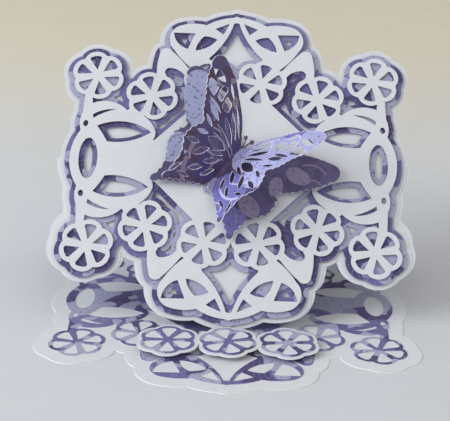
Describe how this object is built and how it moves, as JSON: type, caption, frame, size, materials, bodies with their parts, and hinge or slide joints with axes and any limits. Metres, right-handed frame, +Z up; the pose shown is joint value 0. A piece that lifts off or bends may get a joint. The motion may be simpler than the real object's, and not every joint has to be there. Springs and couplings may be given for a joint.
{
  "type": "easel card",
  "caption": "Greeting card folded into an easel, with a layered die-cut medallion plaque, a flower stopper and a raised paper butterfly.",
  "frame": {"origin": "on the table under the middle of the base panel's pattern", "axes": "+Z up, the plaque faces -Y and leans back towards +Y, +X to the right seen from the front"},
  "size_m": [0.1796, 0.1705, 0.1307],
  "materials": {
    "white_card": "smooth matt white card",
    "violet_print": "matt paper printed with tonal violet fields and fine lines",
    "plum_print": "matt paper printed in deep plum, with pale cut edges",
    "white_foam": "white foam"
  },
  "bodies": {
    "root": {"easel_blank": "white_card", "base_filigree": "violet_print", "stopper_pads": "white_foam", "stopper_strip": "white_card", "stopper_flowers": "violet_print", "plaque_backing": "white_card", "mat_pads": "white_foam", "plaque_mat": "violet_print", "filigree_pads": "white_foam", "plaque_filigree": "white_card", "butterfly_pad": "white_foam", "butterfly_base": "violet_print", "butterfly_lace": "plum_print"}
  },
  "joints": []
}
